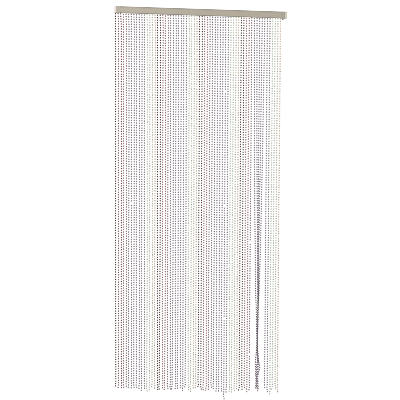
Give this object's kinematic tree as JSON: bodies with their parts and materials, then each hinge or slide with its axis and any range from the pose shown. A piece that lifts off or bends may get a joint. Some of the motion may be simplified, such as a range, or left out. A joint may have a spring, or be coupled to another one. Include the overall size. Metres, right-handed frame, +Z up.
{
  "type": "plastic bead door curtain with rail",
  "caption": "Bead string curtain for a doorway: plumb strands of small moulded plastic beads hang in coloured bands from a slotted rail with moulded end caps.",
  "frame": {"origin": "middle of the rail's flat back face, where the rail is fastened to a door frame or wall", "axes": "+Z up along the plumb strands, +X to the right of someone who faces the curtain, -Y out of its front and +Y into the wall behind the rail"},
  "size_m": [0.9006, 0.0246, 2.0649],
  "materials": {
    "rail": "champagne anodised aluminium channel, satin",
    "end_caps": "pale milky moulded plastic, slightly see-through",
    "wine_beads": "dark wine-brown moulded plastic beads on clear thread",
    "rose_beads": "dusky rose moulded plastic beads on clear thread",
    "lilac_beads": "smoky lilac moulded plastic beads on clear thread",
    "green_beads": "pale sage green moulded plastic beads on clear thread",
    "amber_beads": "pale straw and peach moulded plastic beads on clear thread",
    "thread": "clear nylon thread, glossy"
  },
  "bodies": {
    "root": {"rail": "rail", "end_cap_left": "end_caps", "end_cap_right": "end_caps", "wine_strands_1": "wine_beads", "rose_strands_1": "rose_beads", "lilac_strands_1": "lilac_beads", "green_strands_1": "green_beads", "amber_strands_1": "amber_beads", "wine_strands_2": "wine_beads", "rose_strands_2": "rose_beads", "lilac_strands_2": "lilac_beads", "green_strands_2": "green_beads", "amber_strands_2": "amber_beads", "wine_strands_3": "wine_beads", "rose_strands_3": "rose_beads", "lilac_strands_3": "lilac_beads", "green_strands_3": "green_beads", "amber_strands_3": "amber_beads", "wine_strands_4": "wine_beads", "rose_strands_4": "rose_beads", "tangled_strands": "lilac_beads", "lilac_strands_4": "lilac_beads", "green_strands_4": "green_beads", "amber_strands_4": "amber_beads", "wine_strands_5": "wine_beads"}
  },
  "joints": []
}
